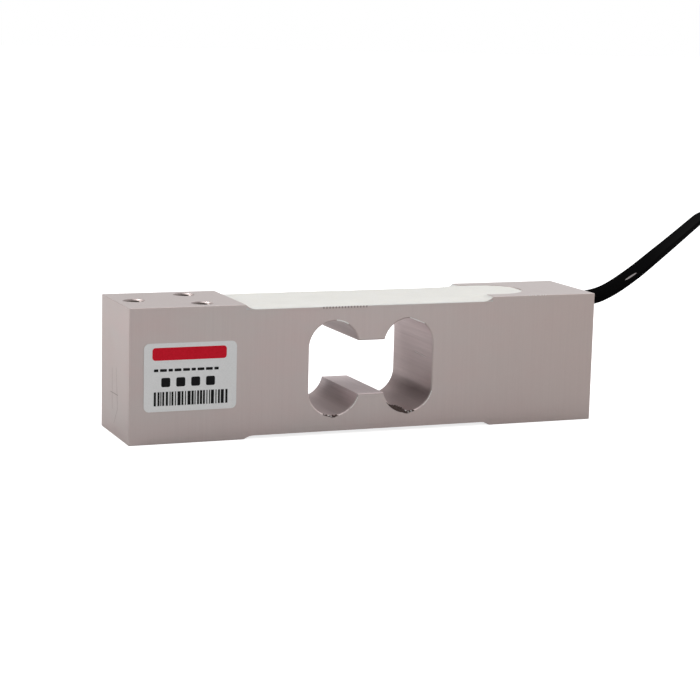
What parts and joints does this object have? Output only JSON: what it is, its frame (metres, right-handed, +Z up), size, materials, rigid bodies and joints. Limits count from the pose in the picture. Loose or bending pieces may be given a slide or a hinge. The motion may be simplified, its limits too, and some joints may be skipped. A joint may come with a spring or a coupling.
{
  "type": "single point load cell",
  "caption": "Rectangular aluminium bending-beam load cell with a binocular cut-out, potted gauges and a black signal cable coiled at its end.",
  "frame": {"origin": "centre of the bar's underside footprint", "axes": "+X along the bar towards the cable end, +Y across the bar away from the label, +Z up through the load pad"},
  "size_m": [0.3953, 0.1918, 0.0464],
  "materials": {
    "milled_aluminium": "satin",
    "gauge_film": "matte",
    "gauge_foil": "satin",
    "board": "satin",
    "resistor_body": "matte",
    "gauge_wire": "satin",
    "solder": "satin",
    "insulation_red": "satin",
    "insulation_black": "satin",
    "insulation_green": "satin",
    "insulation_white": "satin",
    "bare_wire": "satin",
    "cable_jacket": "satin",
    "anchor_ring": "satin",
    "white_sealant": "satin",
    "label_film": "satin",
    "tie_plastic": "satin",
    "sleeve_plastic": "satin"
  },
  "bodies": {
    "root": {"spring_element": "milled_aluminium", "gauge_carrier_top_left": "gauge_film", "gauge_carrier_top_right": "gauge_film", "gauge_carrier_bottom_left": "gauge_film", "gauge_carrier_bottom_right": "gauge_film", "gauge_grid_top_left": "gauge_foil", "gauge_grid_top_right": "gauge_foil", "gauge_grid_bottom_left": "gauge_foil", "gauge_grid_bottom_right": "gauge_foil", "terminal_board": "board", "trim_resistors": "resistor_body", "gauge_wires_top": "gauge_wire", "gauge_wires_bottom": "gauge_wire", "solder_joints": "solder", "conductor_red": "insulation_red", "lead_red": "insulation_red", "conductor_black": "insulation_black", "lead_black": "insulation_black", "conductor_green": "insulation_green", "lead_green": "insulation_green", "conductor_white": "insulation_white", "lead_white": "insulation_white", "conductor_drain": "bare_wire", "lead_drain": "bare_wire", "cable_tail": "cable_jacket", "cable_run": "cable_jacket", "cable_coil": "cable_jacket", "cable_anchor": "anchor_ring", "top_sealant": "white_sealant", "bottom_sealant": "white_sealant", "label": "label_film", "coil_tie_1": "tie_plastic", "coil_tie_2": "tie_plastic", "end_sleeve": "sleeve_plastic"}
  },
  "joints": []
}
